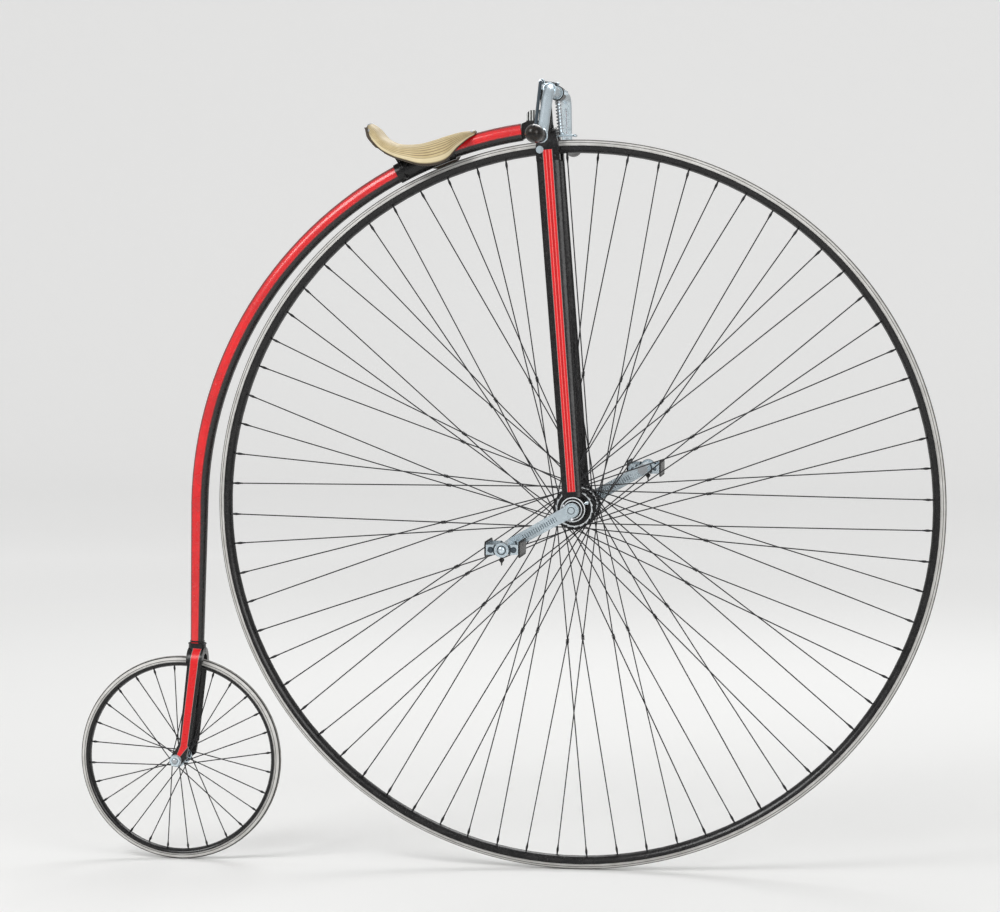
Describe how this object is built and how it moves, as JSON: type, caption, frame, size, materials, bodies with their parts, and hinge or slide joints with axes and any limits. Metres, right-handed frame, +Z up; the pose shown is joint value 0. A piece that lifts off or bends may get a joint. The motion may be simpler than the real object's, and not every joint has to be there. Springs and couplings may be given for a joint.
{
  "type": "high wheel bicycle",
  "caption": "High wheel bicycle with a tall direct-driven front wheel, small rear wheel, curved backbone, raked fork, dropped handlebar, leather saddle and spoon brake.",
  "frame": {"origin": "rider's seat point, on top of the leather saddle at its lowest dip", "axes": "+X forward, the way the bicycle travels; +Y to the rider's left; +Z up"},
  "size_m": [1.6463, 0.6602, 1.4783],
  "materials": {
    "red_enamel": "gloss enamel",
    "black_enamel": "gloss enamel",
    "nickel": "polished nickel plate",
    "steel": "turned",
    "spoke_steel": "drawn wire",
    "tyre": "matt",
    "horn": "polished horn",
    "leather": "smooth hide"
  },
  "bodies": {
    "backbone": {"backbone_tube": "red_enamel", "neck": "black_enamel", "rear_crown": "red_enamel", "rear_blade_right": "red_enamel", "rear_blade_left": "red_enamel", "rear_axle": "steel", "saddle_leather": "leather", "saddle_clip": "black_enamel", "saddle_spring": "black_enamel"},
    "fork": {"fork_crown": "black_enamel", "head_bolt": "nickel", "handlebar_lug": "black_enamel", "brake_lever": "nickel", "brake_plunger": "nickel", "brake_spoon": "nickel", "fork_blade_right": "black_enamel", "handlebar_right": "nickel", "grip_right": "horn", "bearing_right": "nickel", "fork_blade_left": "black_enamel", "handlebar_left": "nickel", "grip_left": "horn", "bearing_left": "nickel"},
    "front_wheel": {"front_tyre": "tyre", "front_rim": "black_enamel", "front_spokes": "spoke_steel", "front_hub": "nickel", "front_axle": "steel", "crank_right": "nickel", "crank_left": "nickel", "pedal_pin_right": "steel", "pedal_pin_left": "steel"},
    "pedal_right": {"pedal_frame_right": "nickel", "pedal_treads_right": "black_enamel"},
    "pedal_left": {"pedal_frame_left": "nickel", "pedal_treads_left": "black_enamel"},
    "rear_wheel": {"rear_tyre": "tyre", "rear_rim": "black_enamel", "rear_spokes": "spoke_steel", "rear_hub": "nickel"}
  },
  "joints": [
    {"name": "steering", "type": "hinge", "parent": "backbone", "child": "fork", "pos_m": [0.31765, 0, -0.67743], "axis": [-0.0785, 0, 0.9969], "range_deg": [-40, 40]},
    {"name": "front_wheel_spin", "type": "hinge", "parent": "fork", "child": "front_wheel", "pos_m": [0.31765, 0, -0.67743], "axis": [0, 1, 0], "continuous": true},
    {"name": "rear_wheel_spin", "type": "hinge", "parent": "backbone", "child": "rear_wheel", "pos_m": [-0.44679, 0, -1.16743], "axis": [0, 1, 0], "continuous": true},
    {"name": "pedal_right_spin", "type": "hinge", "parent": "front_wheel", "child": "pedal_right", "pos_m": [0.20189, -0.103, -0.74292], "axis": [0, 1, 0], "continuous": true},
    {"name": "pedal_left_spin", "type": "hinge", "parent": "front_wheel", "child": "pedal_left", "pos_m": [0.43341, 0.103, -0.61194], "axis": [0, 1, 0], "continuous": true}
  ]
}
